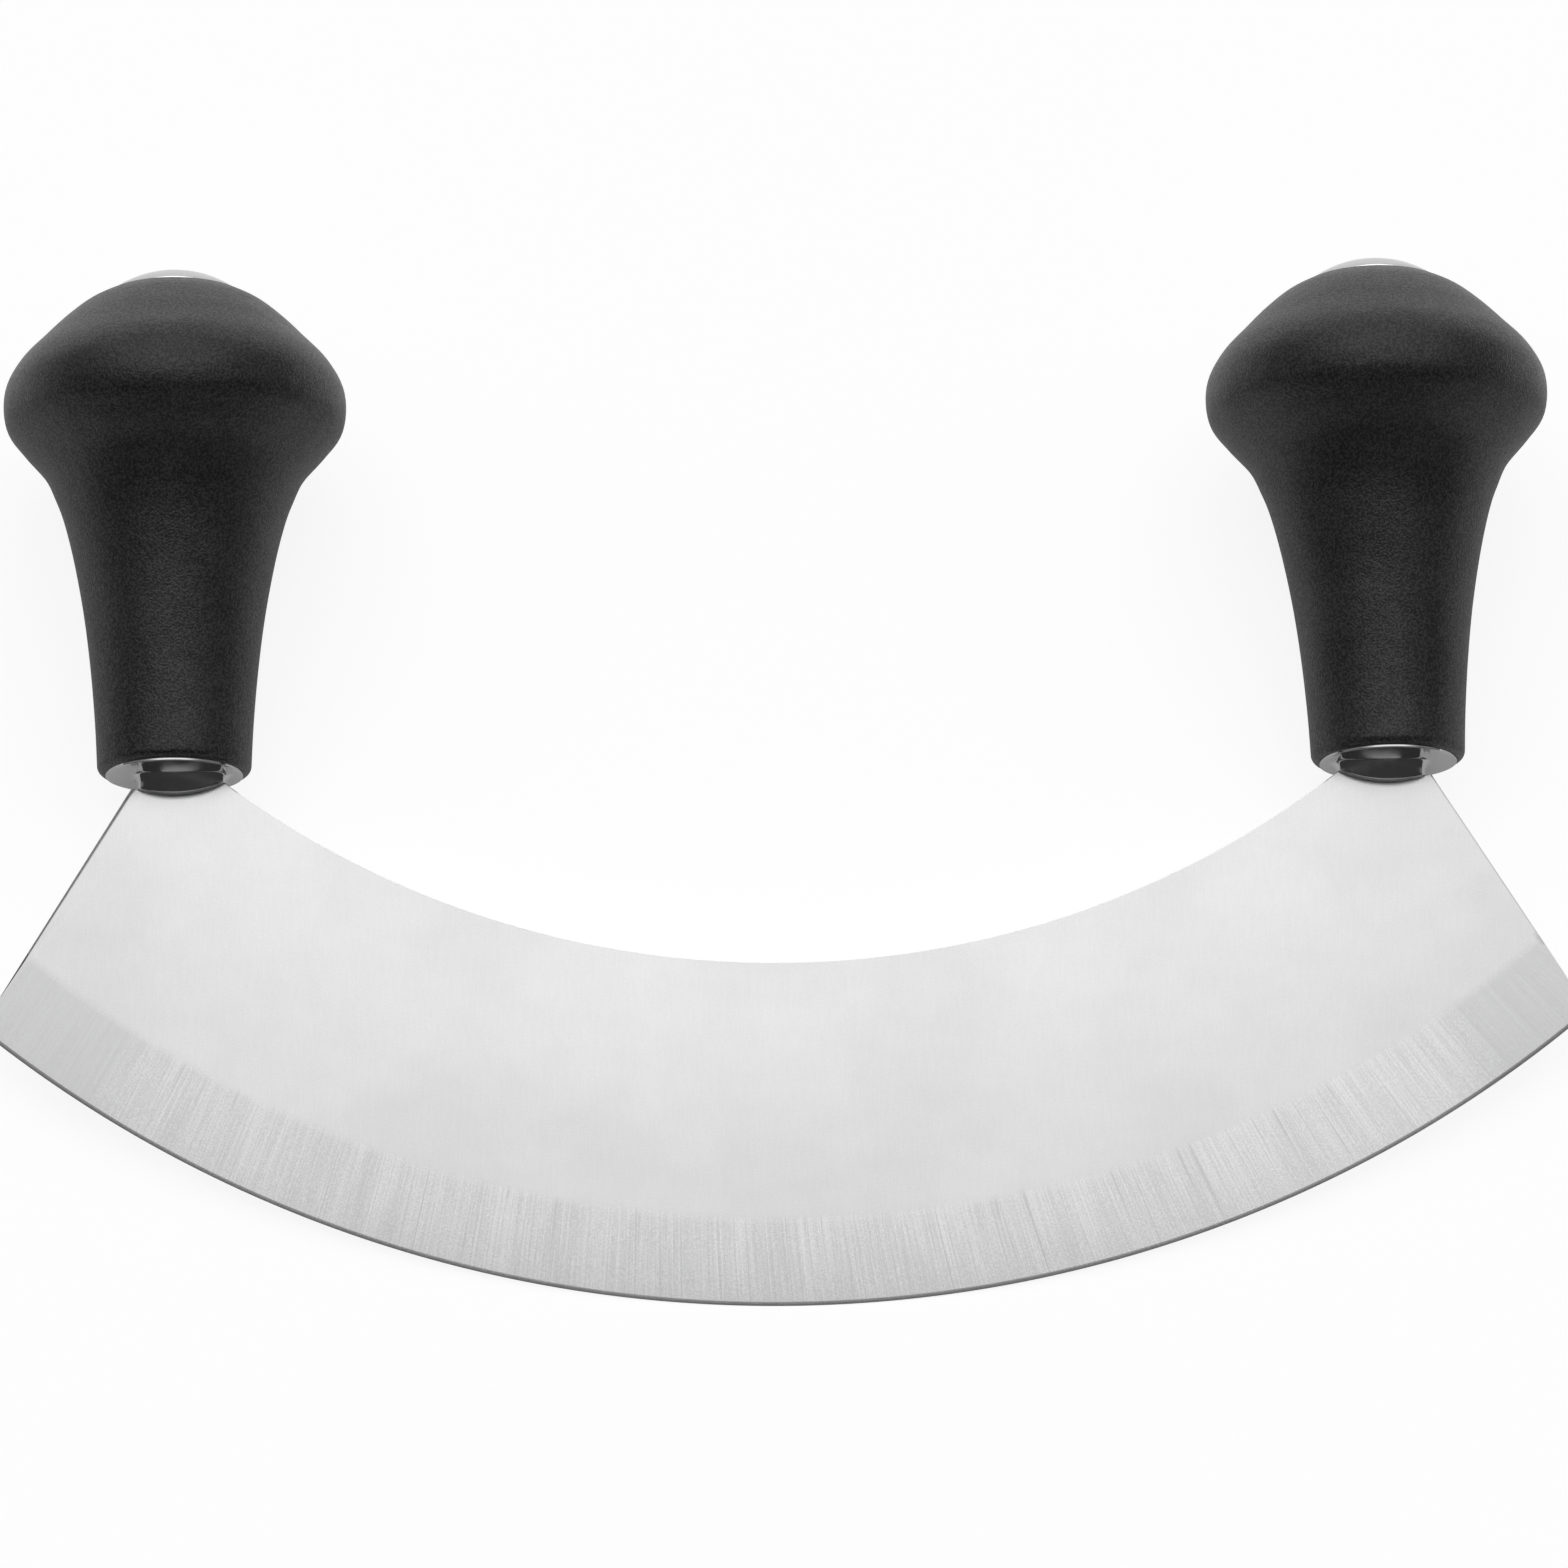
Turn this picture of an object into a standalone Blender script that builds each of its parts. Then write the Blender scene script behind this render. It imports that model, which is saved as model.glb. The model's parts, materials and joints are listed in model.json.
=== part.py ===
"""Mezzaluna: a curved chopping blade held between two turned hand knobs.

The pieces are modelled upright, in metres: X along the blade, Y from front to back, Z up, with the centre of the
blade's arcs at the origin. A handle's pieces are measured from the underside of its flange, on the knob's axis.
The finished object lies as it does on a table, on the backs of both knobs and on its cutting edge, front face up.
"""

from math import atan2, cos, pi, radians, sin, sqrt

import bmesh
import bpy
from mathutils import Vector
from mathutils.geometry import interpolate_bezier

# Blade
BLADE_LENGTH = 0.230  # straight across, from corner to corner of the cutting edge
EDGE_RADIUS = 0.1805
BLADE_WIDTH = 0.0497  # cutting edge to spine
BLADE_THICKNESS = 0.0015
END_SLOPE = radians(31.5)  # lean of the blade's end lines
GRIND_WIDTH = 0.0125
EDGE_BEVEL_WIDTH = 0.0004
EDGE_BEVEL_THICKNESS = 0.0003
BLADE_EASING = 0.0003  # broken corners along the spine and the ends

# Place of a handle, from the corner where the end line and the spine would meet
AXIS_INSET = 0.0013
FLANGE_DROP = 0.0061

# Bolster
FLANGE_DIAMETER = 0.0198
FLANGE_THICKNESS = 0.0015
FLANGE_EASING = 0.0002
SPIGOT_DIAMETER = 0.010
SPIGOT_LENGTH = 0.0085
SPIGOT_FLOOR = 0.0015  # steel left under the rod's hole
TONGUE_WIDTH = 0.0136
TONGUE_THICKNESS = 0.0056
TONGUE_DEPTH = 0.0035
TONGUE_INSET = 0.0007  # tongue's middle, inboard of the knob's axis
TONGUE_CORNER = 0.0012
TONGUE_UNDERSIDE_RADIUS = 0.017
FILLET_FRONT = 0.003  # reach of the tongue's fillet over the flange, front and back
FILLET_SIDE = 0.001
FILLET_HEIGHT = 0.002

# Tang, the blade's tab in the tongue
TANG_WIDTH = 0.0086
TANG_THICKNESS = 0.0009
TANG_REACH_SHARE = 0.3  # of the flange's thickness

# Knob
KNOB_HEIGHT = 0.0719  # foot to rim
HEAD_DIAMETER = 0.0496
FLANGE_REVEAL = 0.0004  # rim of the flange that shows below the knob
FOOT_LIP = 0.0009  # plastic round the flange
FOOT_ROUNDING = 0.0012
RIM_LIP = 0.0003  # plastic round the end cap
SOCKET_DEPTH = 0.015  # room for washer, nut and the cap's skirt
SOCKET_ROOM = 0.0005  # round the washer

# Tang rod, washer and nut
ROD_DIAMETER = 0.006
ROD_PROUD = 0.0015  # rod past the nut
ROD_EASING = 0.0006
WASHER_DIAMETER = 0.0125
WASHER_THICKNESS = 0.001
NUT_ACROSS_FLATS = 0.010
NUT_HEIGHT = 0.005

# End cap
CAP_DIAMETER = 0.019
CAP_DOME_RISE = 0.0028
CAP_EDGE = 0.0008  # depth of the cap's edge in the knob
CAP_WALL = 0.0012
SKIRT_LENGTH = 0.0045

# Clearances
FIT_GAP = 0.0003  # between neighbouring pieces
OVERRUN = 0.002  # of cutters, and of what is let into another shape before they are joined
MERGE = 0.000001

# Outer outline of the knob above its rounded foot: share of the swell from foot to head, share of the height
KNOB_PROFILE_SHARES = (
    (0.000, 0.017),
    (0.023, 0.105),
    (0.072, 0.217),
    (0.145, 0.329),
    (0.250, 0.440),
    (0.357, 0.523),
    (0.450, 0.572),
    (0.572, 0.621),
    (0.813, 0.676),
    (0.975, 0.722),
    (0.990, 0.787),
    (0.848, 0.843),
    (0.612, 0.892),
    (0.395, 0.934),
    (0.163, 0.971),
)
TANGENT_SHARE = 1 / 6  # of the step between a point's neighbours, for an even curve through all points

# Facets
ROUND_STEPS = 40  # a multiple of four, so a corner lies on the knob's back
ROD_STEPS = 16
ARC_STEPS = 96
BLADE_STATIONS = 48
CORNER_STEPS = 4
CURVE_STEPS = 2
SHARP_ANGLE = radians(32)

SIDES = {"left": -1, "right": 1}


def end_line_point(radius):
    """(x, z) where the blade's right end line crosses a circle about the arcs' centre."""
    corner = Vector((BLADE_LENGTH / 2, -sqrt(EDGE_RADIUS**2 - (BLADE_LENGTH / 2) ** 2)))
    upward = Vector((-sin(END_SLOPE), cos(END_SLOPE)))
    nearest = -corner.dot(upward)
    return corner + upward * (nearest - sqrt(nearest**2 - EDGE_RADIUS**2 + radius**2))


# Levels of a handle, above the underside of its flange
FLANGE_RADIUS = FLANGE_DIAMETER / 2
SPIGOT_TOP = FLANGE_THICKNESS + SPIGOT_LENGTH
ROD_HOLE_FLOOR = FLANGE_THICKNESS + SPIGOT_FLOOR
TANG_TOP = FLANGE_THICKNESS * TANG_REACH_SHARE
UNDERSIDE_CENTRE = TONGUE_UNDERSIDE_RADIUS - TONGUE_DEPTH
RIM_LEVEL = FLANGE_REVEAL + KNOB_HEIGHT
CAP_SEAT = RIM_LEVEL - CAP_EDGE - FIT_GAP
SOCKET_FLOOR = CAP_SEAT - SOCKET_DEPTH
WASHER_LEVEL = SOCKET_FLOOR + FIT_GAP
NUT_LEVEL = WASHER_LEVEL + WASHER_THICKNESS + FIT_GAP
ROD_TOP = NUT_LEVEL + NUT_HEIGHT + ROD_PROUD

# Radii of a handle
ROD_RADIUS = ROD_DIAMETER / 2
BORE_RADIUS = ROD_RADIUS + FIT_GAP
RECESS_RADIUS = FLANGE_RADIUS + FIT_GAP
FOOT_RADIUS = RECESS_RADIUS + FOOT_LIP
CAP_RADIUS = CAP_DIAMETER / 2
RIM_RADIUS = CAP_RADIUS + FIT_GAP + RIM_LIP
SOCKET_RADIUS = WASHER_DIAMETER / 2 + SOCKET_ROOM
SKIRT_RADIUS = SOCKET_RADIUS - FIT_GAP

# Place of the handles
SPINE_RADIUS = EDGE_RADIUS - BLADE_WIDTH
SPINE_CORNER = end_line_point(SPINE_RADIUS)
AXIS_X = SPINE_CORNER.x - AXIS_INSET
FLANGE_Z = SPINE_CORNER.y - FLANGE_DROP


def clear_scene():
    for old in list(bpy.data.objects):
        bpy.data.objects.remove(old)


def finish(name, colour, roughness, metallic):
    """A plain Principled material."""
    material = bpy.data.materials.new(name)
    material.use_nodes = True
    shader = material.node_tree.nodes["Principled BSDF"]
    shader.inputs["Base Color"].default_value = (*colour, 1)
    shader.inputs["Roughness"].default_value = roughness
    shader.inputs["Metallic"].default_value = metallic
    return material


def empty(name, parent=None, location=(0, 0, 0)):
    marker = bpy.data.objects.new(name, None)
    bpy.context.collection.objects.link(marker)
    marker.parent = parent
    marker.location = location
    return marker


def solid(name, bm, parent, material=None, location=(0, 0, 0)):
    """A named object from a closed bmesh. With no material it is a helper, seen only as wire."""
    bmesh.ops.remove_doubles(bm, verts=bm.verts, dist=MERGE)
    bmesh.ops.recalc_face_normals(bm, faces=bm.faces)
    mesh = bpy.data.meshes.new(name)
    bm.to_mesh(mesh)
    bm.free()
    mesh.shade_smooth()
    mesh.set_sharp_from_angle(angle=SHARP_ANGLE)
    piece = bpy.data.objects.new(name, mesh)
    bpy.context.collection.objects.link(piece)
    piece.parent = parent
    piece.location = location
    if material:
        mesh.materials.append(material)
    else:
        piece.hide_render = True
        piece.display_type = "WIRE"
    return piece


def combine(piece, operation, other):
    modifier = piece.modifiers.new(other.name, "BOOLEAN")
    modifier.operation = operation
    modifier.object = other


def turned(profile, closed=False, steps=ROUND_STEPS):
    """Spins a profile of (radius, height) points about Z. An open profile starts and ends on the axis."""
    bm = bmesh.new()
    points = [bm.verts.new((radius, 0, height)) for radius, height in profile]
    ends = points[1:] + points[:1] if closed else points[1:]
    edges = [bm.edges.new(pair) for pair in zip(points, ends)]
    bmesh.ops.spin(bm, geom=points + edges, axis=(0, 0, 1), angle=2 * pi, steps=steps, use_merge=True)
    return bm


def lofted(rings):
    """Skins rings of as many points each, and caps both ends."""
    bm = bmesh.new()
    loops = [[bm.verts.new(point) for point in ring] for ring in rings]
    for lower, upper in zip(loops, loops[1:]):
        for here, start in enumerate(lower):
            bm.faces.new((lower[here - 1], start, upper[here], upper[here - 1]))
    bm.faces.new(loops[0])
    bm.faces.new(loops[-1])
    return bm


def box(width, depth, bottom, top, middle=0):
    """An upright box whose middle stands at x = middle."""
    outline = [(middle + x * width / 2, y * depth / 2) for x, y in ((1, 1), (-1, 1), (-1, -1), (1, -1))]
    return lofted([[(x, y, level) for x, y in outline] for level in (bottom, top)])


def cylinder_across(radius, depth, x, z):
    """A round bar along Y through (x, z)."""
    angles = [2 * pi * step / ARC_STEPS for step in range(ARC_STEPS)]
    circle = [(x + radius * sin(angle), z - radius * cos(angle)) for angle in angles]
    return lofted([[(across, y, up) for across, up in circle] for y in (-depth / 2, depth / 2)])


def curve_through(points):
    """A smooth curve through all the points, each tangent set by its neighbours."""
    points = [Vector(point) for point in points]
    run = [points[0], *points, points[-1]]
    curve = []
    for before, start, end, after in zip(run, run[1:], run[2:], run[3:]):
        lead = start + (end - before) * TANGENT_SHARE
        trail = end - (after - start) * TANGENT_SHARE
        curve += interpolate_bezier(start, lead, trail, end, CURVE_STEPS + 1)[:-1]
    return curve + [points[-1]]


def rounded_outline(width, depth, radius):
    """A rectangle about the origin with round corners, as (x, y) points."""
    outline = []
    for quarter, (across, back) in enumerate(((1, 1), (-1, 1), (-1, -1), (1, -1))):
        centre = Vector((across * (width / 2 - radius), back * (depth / 2 - radius)))
        for step in range(CORNER_STEPS + 1):
            angle = (quarter + step / CORNER_STEPS) * pi / 2
            outline.append(centre + Vector((cos(angle), sin(angle))) * radius)
    return outline


def blade_section():
    """(radius, half thickness) points from the spine down the front of the blade to its cutting edge."""
    half = BLADE_THICKNESS / 2
    return (
        (SPINE_RADIUS, half - BLADE_EASING),
        (SPINE_RADIUS + BLADE_EASING, half),
        (EDGE_RADIUS - GRIND_WIDTH, half),
        (EDGE_RADIUS - EDGE_BEVEL_WIDTH, EDGE_BEVEL_THICKNESS / 2),
        (EDGE_RADIUS, 0),
    )


def blade_ring(station, thinning):
    """The blade's section at a station from -1, the left end, to 1, the right end."""
    front = []
    for radius, half in blade_section():
        end = end_line_point(radius)
        angle = station * atan2(end.x, -end.y)
        front.append(Vector((radius * sin(angle), -half * thinning, -radius * cos(angle))))
    back = [Vector((point.x, -point.y, point.z)) for point in front[-2::-1]]
    return front + back


def make_blade(rest, steel):
    """Loft along the arc with eased ends, shoulders round the tongues' undersides, and a tang over each shoulder."""
    easing = BLADE_EASING / (EDGE_RADIUS * atan2(BLADE_LENGTH / 2, -end_line_point(EDGE_RADIUS).y))
    inner = 1 - easing
    stations = [inner * (2 * step / BLADE_STATIONS - 1) for step in range(BLADE_STATIONS + 1)]
    end_thinning = 1 - 2 * BLADE_EASING / BLADE_THICKNESS
    rings = [blade_ring(-1, end_thinning)]
    rings += [blade_ring(station, 1) for station in stations]
    rings.append(blade_ring(1, end_thinning))
    blade = solid("blade", lofted(rings), rest, steel)
    for side, sign in SIDES.items():
        middle = sign * (AXIS_X - TONGUE_INSET)
        centre = FLANGE_Z + UNDERSIDE_CENTRE
        shoulder_radius = TONGUE_UNDERSIDE_RADIUS + FIT_GAP
        cutter = cylinder_across(shoulder_radius, BLADE_THICKNESS + OVERRUN, middle, centre)
        combine(blade, "DIFFERENCE", solid(f"shoulder_cutter_{side}", cutter, rest))
        root = FLANGE_Z - TONGUE_DEPTH - OVERRUN
        tang = box(TANG_WIDTH, TANG_THICKNESS, root, FLANGE_Z + TANG_TOP, middle)
        combine(blade, "UNION", solid(f"tang_{side}", tang, rest))


def make_bolster(side, handle, steel):
    """Turned flange and spigot, with the forged tongue below and the tang's pocket in it."""
    middle = -SIDES[side] * TONGUE_INSET
    spigot_radius = SPIGOT_DIAMETER / 2
    body = turned(
        [
            (0, 0),
            (FLANGE_RADIUS - FLANGE_EASING, 0),
            (FLANGE_RADIUS, FLANGE_EASING),
            (FLANGE_RADIUS, FLANGE_THICKNESS),
            (spigot_radius, FLANGE_THICKNESS),
            (spigot_radius, SPIGOT_TOP),
            (BORE_RADIUS, SPIGOT_TOP),
            (BORE_RADIUS, ROD_HOLE_FLOOR),
            (0, ROD_HOLE_FLOOR),
        ]
    )
    bolster = solid(f"bolster_{side}", body, handle, steel)

    levels = [(-TONGUE_DEPTH - OVERRUN, 0)]
    for step in range(CORNER_STEPS + 1):
        turn = step / CORNER_STEPS * pi / 2
        levels.append((FILLET_HEIGHT * (sin(turn) - 1), 1 - cos(turn)))
    levels.append((FLANGE_THICKNESS / 2, 1))
    rings = []
    for level, growth in levels:
        width = TONGUE_WIDTH + 2 * FILLET_SIDE * growth
        depth = TONGUE_THICKNESS + 2 * FILLET_FRONT * growth
        outline = rounded_outline(width, depth, TONGUE_CORNER + FILLET_SIDE * growth)
        rings.append([(middle + point.x, point.y, level) for point in outline])
    tongue = solid(f"tongue_{side}", lofted(rings), handle)
    underside = cylinder_across(TONGUE_UNDERSIDE_RADIUS, FLANGE_DIAMETER, middle, UNDERSIDE_CENTRE)
    combine(tongue, "INTERSECT", solid(f"underside_{side}", underside, handle))
    combine(bolster, "UNION", tongue)

    pocket_width = TANG_WIDTH + 2 * FIT_GAP
    pocket_depth = TANG_THICKNESS + 2 * FIT_GAP
    pocket = box(pocket_width, pocket_depth, -TONGUE_DEPTH - OVERRUN, TANG_TOP + FIT_GAP, middle)
    combine(bolster, "DIFFERENCE", solid(f"pocket_cutter_{side}", pocket, handle))


def knob_outline():
    """Outer outline of the knob, from the inner edge of its foot up to the rim round the end cap."""
    foot = []
    for step in range(CORNER_STEPS):
        turn = step / CORNER_STEPS * pi / 2
        foot.append((RECESS_RADIUS + FOOT_LIP * sin(turn), FLANGE_REVEAL + FOOT_ROUNDING * (1 - cos(turn))))
    swell = HEAD_DIAMETER / 2 - FOOT_RADIUS
    body = [
        (FOOT_RADIUS + swell * swell_share, FLANGE_REVEAL + KNOB_HEIGHT * height_share)
        for swell_share, height_share in KNOB_PROFILE_SHARES
    ]
    return foot + [tuple(point) for point in curve_through(body + [(RIM_RADIUS, RIM_LEVEL)])]


def make_knob(side, handle, plastic):
    """Turned outside, bored for the spigot and the rod, with a socket for nut and cap in its head."""
    spigot_bore = SPIGOT_DIAMETER / 2 + FIT_GAP
    inside = [
        (CAP_RADIUS + FIT_GAP, RIM_LEVEL),
        (CAP_RADIUS + FIT_GAP, CAP_SEAT),
        (SOCKET_RADIUS, CAP_SEAT),
        (SOCKET_RADIUS, SOCKET_FLOOR),
        (BORE_RADIUS, SOCKET_FLOOR),
        (BORE_RADIUS, SPIGOT_TOP + FIT_GAP),
        (spigot_bore, SPIGOT_TOP + FIT_GAP),
        (spigot_bore, FLANGE_THICKNESS + FIT_GAP),
        (RECESS_RADIUS, FLANGE_THICKNESS + FIT_GAP),
    ]
    solid(f"knob_{side}", turned(knob_outline() + inside, closed=True), handle, plastic)


def make_rod(side, handle, steel):
    """Plain rod from the bolster's hole to just past the nut."""
    foot = ROD_HOLE_FLOOR + FIT_GAP
    profile = [
        (0, foot),
        (ROD_RADIUS - ROD_EASING, foot),
        (ROD_RADIUS, foot + ROD_EASING),
        (ROD_RADIUS, ROD_TOP - ROD_EASING),
        (ROD_RADIUS - ROD_EASING, ROD_TOP),
        (0, ROD_TOP),
    ]
    solid(f"tang_rod_{side}", turned(profile, steps=ROD_STEPS), handle, steel)


def make_washer(side, handle, steel):
    top = WASHER_LEVEL + WASHER_THICKNESS
    outer = WASHER_DIAMETER / 2
    profile = [(BORE_RADIUS, WASHER_LEVEL), (outer, WASHER_LEVEL), (outer, top), (BORE_RADIUS, top)]
    solid(f"washer_{side}", turned(profile, closed=True), handle, steel)


def make_nut(side, handle, steel):
    """Six-sided nut, bored to clear the rod."""
    corner = NUT_ACROSS_FLATS / 2 / cos(pi / 6)
    hexagon = [(corner * cos(turn * pi / 3), corner * sin(turn * pi / 3)) for turn in range(6)]
    levels = (NUT_LEVEL, NUT_LEVEL + NUT_HEIGHT)
    nut = solid(f"nut_{side}", lofted([[(x, y, z) for x, y in hexagon] for z in levels]), handle, steel)
    bottom = NUT_LEVEL - OVERRUN
    top = NUT_LEVEL + NUT_HEIGHT + OVERRUN
    hole = turned([(0, bottom), (BORE_RADIUS, bottom), (BORE_RADIUS, top), (0, top)], steps=ROD_STEPS)
    combine(nut, "DIFFERENCE", solid(f"nut_hole_{side}", hole, handle))


def make_end_cap(side, handle, steel):
    """Domed cap with a skirt that presses into the knob's socket."""
    dome_radius = (CAP_RADIUS**2 + CAP_DOME_RISE**2) / (2 * CAP_DOME_RISE)
    centre = RIM_LEVEL + CAP_DOME_RISE - dome_radius
    widest = atan2(CAP_RADIUS, RIM_LEVEL - centre)
    dome = []
    for step in range(2 * CORNER_STEPS, 0, -1):
        turn = widest * step / (2 * CORNER_STEPS)
        dome.append((dome_radius * sin(turn), centre + dome_radius * cos(turn)))
    head_level = RIM_LEVEL - CAP_EDGE
    hollow_radius = SKIRT_RADIUS - CAP_WALL
    profile = [
        (0, head_level),
        (hollow_radius, head_level),
        (hollow_radius, head_level - SKIRT_LENGTH),
        (SKIRT_RADIUS, head_level - SKIRT_LENGTH),
        (SKIRT_RADIUS, head_level),
        (CAP_RADIUS, head_level),
        *dome,
        (0, RIM_LEVEL + CAP_DOME_RISE),
    ]
    solid(f"end_cap_{side}", turned(profile), handle, steel)


def lay_on_table(rest):
    """Tips the object until the backs of the knobs and of the cutting edge touch one plane, and centres it there."""
    tilt = max(
        min(atan2(radius - half, FLANGE_Z + height + depth) for depth, half in blade_section())
        for radius, height in knob_outline()
    )
    rest.rotation_euler.x = tilt - pi / 2
    bpy.context.view_layer.update()
    parts = [part for part in bpy.context.scene.objects if part.type == "MESH" and not part.hide_render]
    corners = [part.matrix_world @ vertex.co for part in parts for vertex in part.data.vertices]
    rest.location.y = -(min(corner.y for corner in corners) + max(corner.y for corner in corners)) / 2
    rest.location.z = -min(corner.z for corner in corners)


def main():
    clear_scene()
    satin_steel = finish("satin_blade_steel", (0.72, 0.72, 0.73), 0.34, 1)
    polished_steel = finish("polished_steel", (0.70, 0.70, 0.71), 0.12, 1)
    plain_steel = finish("plain_steel", (0.55, 0.55, 0.56), 0.4, 1)
    plastic = finish("grained_black_plastic", (0.025, 0.025, 0.026), 0.5, 0)

    rest = empty("resting_pose")
    make_blade(rest, satin_steel)
    for side, sign in SIDES.items():
        handle = empty(f"handle_{side}", rest, (sign * AXIS_X, 0, FLANGE_Z))
        make_bolster(side, handle, polished_steel)
        make_knob(side, handle, plastic)
        make_rod(side, handle, plain_steel)
        make_washer(side, handle, plain_steel)
        make_nut(side, handle, plain_steel)
        make_end_cap(side, handle, polished_steel)
    lay_on_table(rest)


main()
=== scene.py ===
"""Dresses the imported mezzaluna: finer blade, bolsters, knobs and end caps, every finish, and a plain studio.

Lengths are in metres. Each piece is modelled upright, as the tool is held: X along the blade, Y from front to
back, Z up, with the centre of the blade's arcs at the origin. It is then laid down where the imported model
lies. A handle's pieces are measured from the underside of its flange, on the knob's axis.
"""

import json
from math import asin, atan2, copysign, cos, pi, radians, sin, sqrt, tan

import bmesh
import bpy
from mathutils import Matrix, Vector
from mathutils.geometry import interpolate_bezier


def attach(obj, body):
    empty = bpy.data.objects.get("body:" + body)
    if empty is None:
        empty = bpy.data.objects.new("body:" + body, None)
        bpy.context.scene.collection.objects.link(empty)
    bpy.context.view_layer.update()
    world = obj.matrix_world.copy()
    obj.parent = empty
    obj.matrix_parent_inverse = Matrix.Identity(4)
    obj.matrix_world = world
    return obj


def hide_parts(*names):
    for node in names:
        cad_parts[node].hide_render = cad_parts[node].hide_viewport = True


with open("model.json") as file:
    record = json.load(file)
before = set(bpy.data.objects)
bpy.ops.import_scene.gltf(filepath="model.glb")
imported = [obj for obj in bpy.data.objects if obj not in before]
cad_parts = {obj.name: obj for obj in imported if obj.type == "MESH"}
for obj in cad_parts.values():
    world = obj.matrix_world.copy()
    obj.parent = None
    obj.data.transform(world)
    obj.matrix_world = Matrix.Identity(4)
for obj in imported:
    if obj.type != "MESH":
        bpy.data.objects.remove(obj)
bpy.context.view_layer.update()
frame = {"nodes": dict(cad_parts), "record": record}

# Blade
BLADE_LENGTH = 0.230
EDGE_RADIUS = 0.1805
BLADE_WIDTH = 0.0497
BLADE_THICKNESS = 0.0015
END_SLOPE = radians(31.5)
GRIND_WIDTH = 0.0125
GRIND_BLEND = 0.0008
EDGE_BEVEL_WIDTH = 0.00055
EDGE_BEVEL_THICKNESS = 0.00050
SPINE_EASING = 0.00012
SPINE_SUPPORT_SHARE = 3  # of the easing, down to the line that keeps the cheek flat
BLEND_SUPPORT_SHARE = 2  # of the grind's blend, out to the lines on both sides of it
BLEND_DIP_SHARE = 1 / 4
END_EASING = 0.00022
FILED_WIDTH = 0.00060  # chamfer filed along the front of the left end, and its steeper outer edge
FILED_SLOPE = radians(28)
FILED_EDGE_WIDTH = 0.00016
FILED_EDGE_SLOPE = radians(50)
GRIND_LEAN = radians(5)  # grinding lines against the square to the edge
BLADE_SWEEP = radians(90)
BLADE_STEPS = 240

# Bolster
FLANGE_THICKNESS = 0.0015
FLANGE_EASING = 0.00014
FLANGE_EASING_STEPS = 4
SPIGOT_DIAMETER = 0.010
SPIGOT_LENGTH = 0.0085
SPIGOT_FLOOR = 0.0015
SPIGOT_CHAMFER = 0.0004
TONGUE_WIDTH = 0.0128
TONGUE_THICKNESS = 0.0064
TONGUE_DEPTH = 0.00295
TONGUE_INSET = 0.0011
TONGUE_ROUNDNESS = 3.2  # power of the superellipse in plan
TONGUE_TAPER_SHARE = -0.085  # thickness gained at the inner end and lost at the outer end
TONGUE_DRAFT = radians(8)
TONGUE_CROWN_RADIUS = 0.030
TONGUE_UNDERSIDE_RADIUS = 0.0165
FILLET_SIDE = 0.0012
FILLET_HEIGHT = 0.0013
TONGUE_EDGE_ROUNDING = 0.0001
TONGUE_EDGE_ANGLE = radians(45)  # edges sharper than this are rounded
TONGUE_EDGE_STEPS = 3
TONGUE_BAR_LENGTH = 0.040

# Tang, the blade's tab in the tongue
TANG_WIDTH = 0.0086
TANG_THICKNESS = 0.0009
TANG_REACH_SHARE = 0.3

# Knob
HEAD_DIAMETER = 0.0496
FLANGE_REVEAL = 0.0004
FOOT_LIP = 0.0009
FOOT_ROUNDING = 0.0012
RIM_LIP = 0.0003
RIM_DROP = 0.0003  # from the cap's edge down to the rim
RIM_ROUNDING = 0.00015
CAP_EDGE = 0.0008
SOCKET_DEPTH = 0.015
SOCKET_RADIUS = 0.00675
ROD_BORE_RADIUS = 0.0033

# End cap
CAP_DOME_RISE = 0.0032
CAP_WALL = 0.0012
CAP_EDGE_ROUNDING = 0.0002
SKIRT_LENGTH = 0.0045

# Seats between pieces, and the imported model's wider gaps round flange and cap
SEAT = 0.00003
PACKED_GAP = 0.0003
MERGE = 0.000001
POINT_SIZE = 0.00001  # of the plane that is merged into a chain's first point
OVERRUN = 0.002

# Outer outline of the knob above its rounded foot: share of the swell from foot to head, share of the height
KNOB_PROFILE_SHARES = (
    (0.000, 0.017),
    (0.023, 0.105),
    (0.072, 0.217),
    (0.145, 0.329),
    (0.250, 0.440),
    (0.357, 0.523),
    (0.450, 0.572),
    (0.572, 0.621),
    (0.813, 0.676),
    (0.975, 0.722),
    (0.990, 0.787),
    (0.848, 0.843),
    (0.612, 0.892),
    (0.395, 0.934),
    (0.163, 0.971),
)
TANGENT_SHARE = 1 / 6

# Smoothness
ROUND_STEPS = 144
CURVE_STEPS = 6
CORNER_STEPS = 8
DOME_STEPS = 24
TONGUE_STEPS = 96
FILLET_STEPS = 12
CROWN_STEPS = 6
UNDERSIDE_STEPS = 360
SHARP_ANGLE = radians(24)

# Camera, in the upright tool's axes
CAMERA_LENS = 198.0  # millimetres, on a 36 mm sensor
CAMERA_SENSOR = 36.0
CAMERA_DISTANCE = 1.24074
CAMERA_ELEVATION = radians(-13.859)
CAMERA_TURN = radians(-1.050)
CAMERA_ROLL = radians(0.877)
CAMERA_TARGET = Vector((0.00026, 0, -0.10429))
CAMERA_CLIP_START = 0.01
CAMERA_CLIP_END = 20

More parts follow.
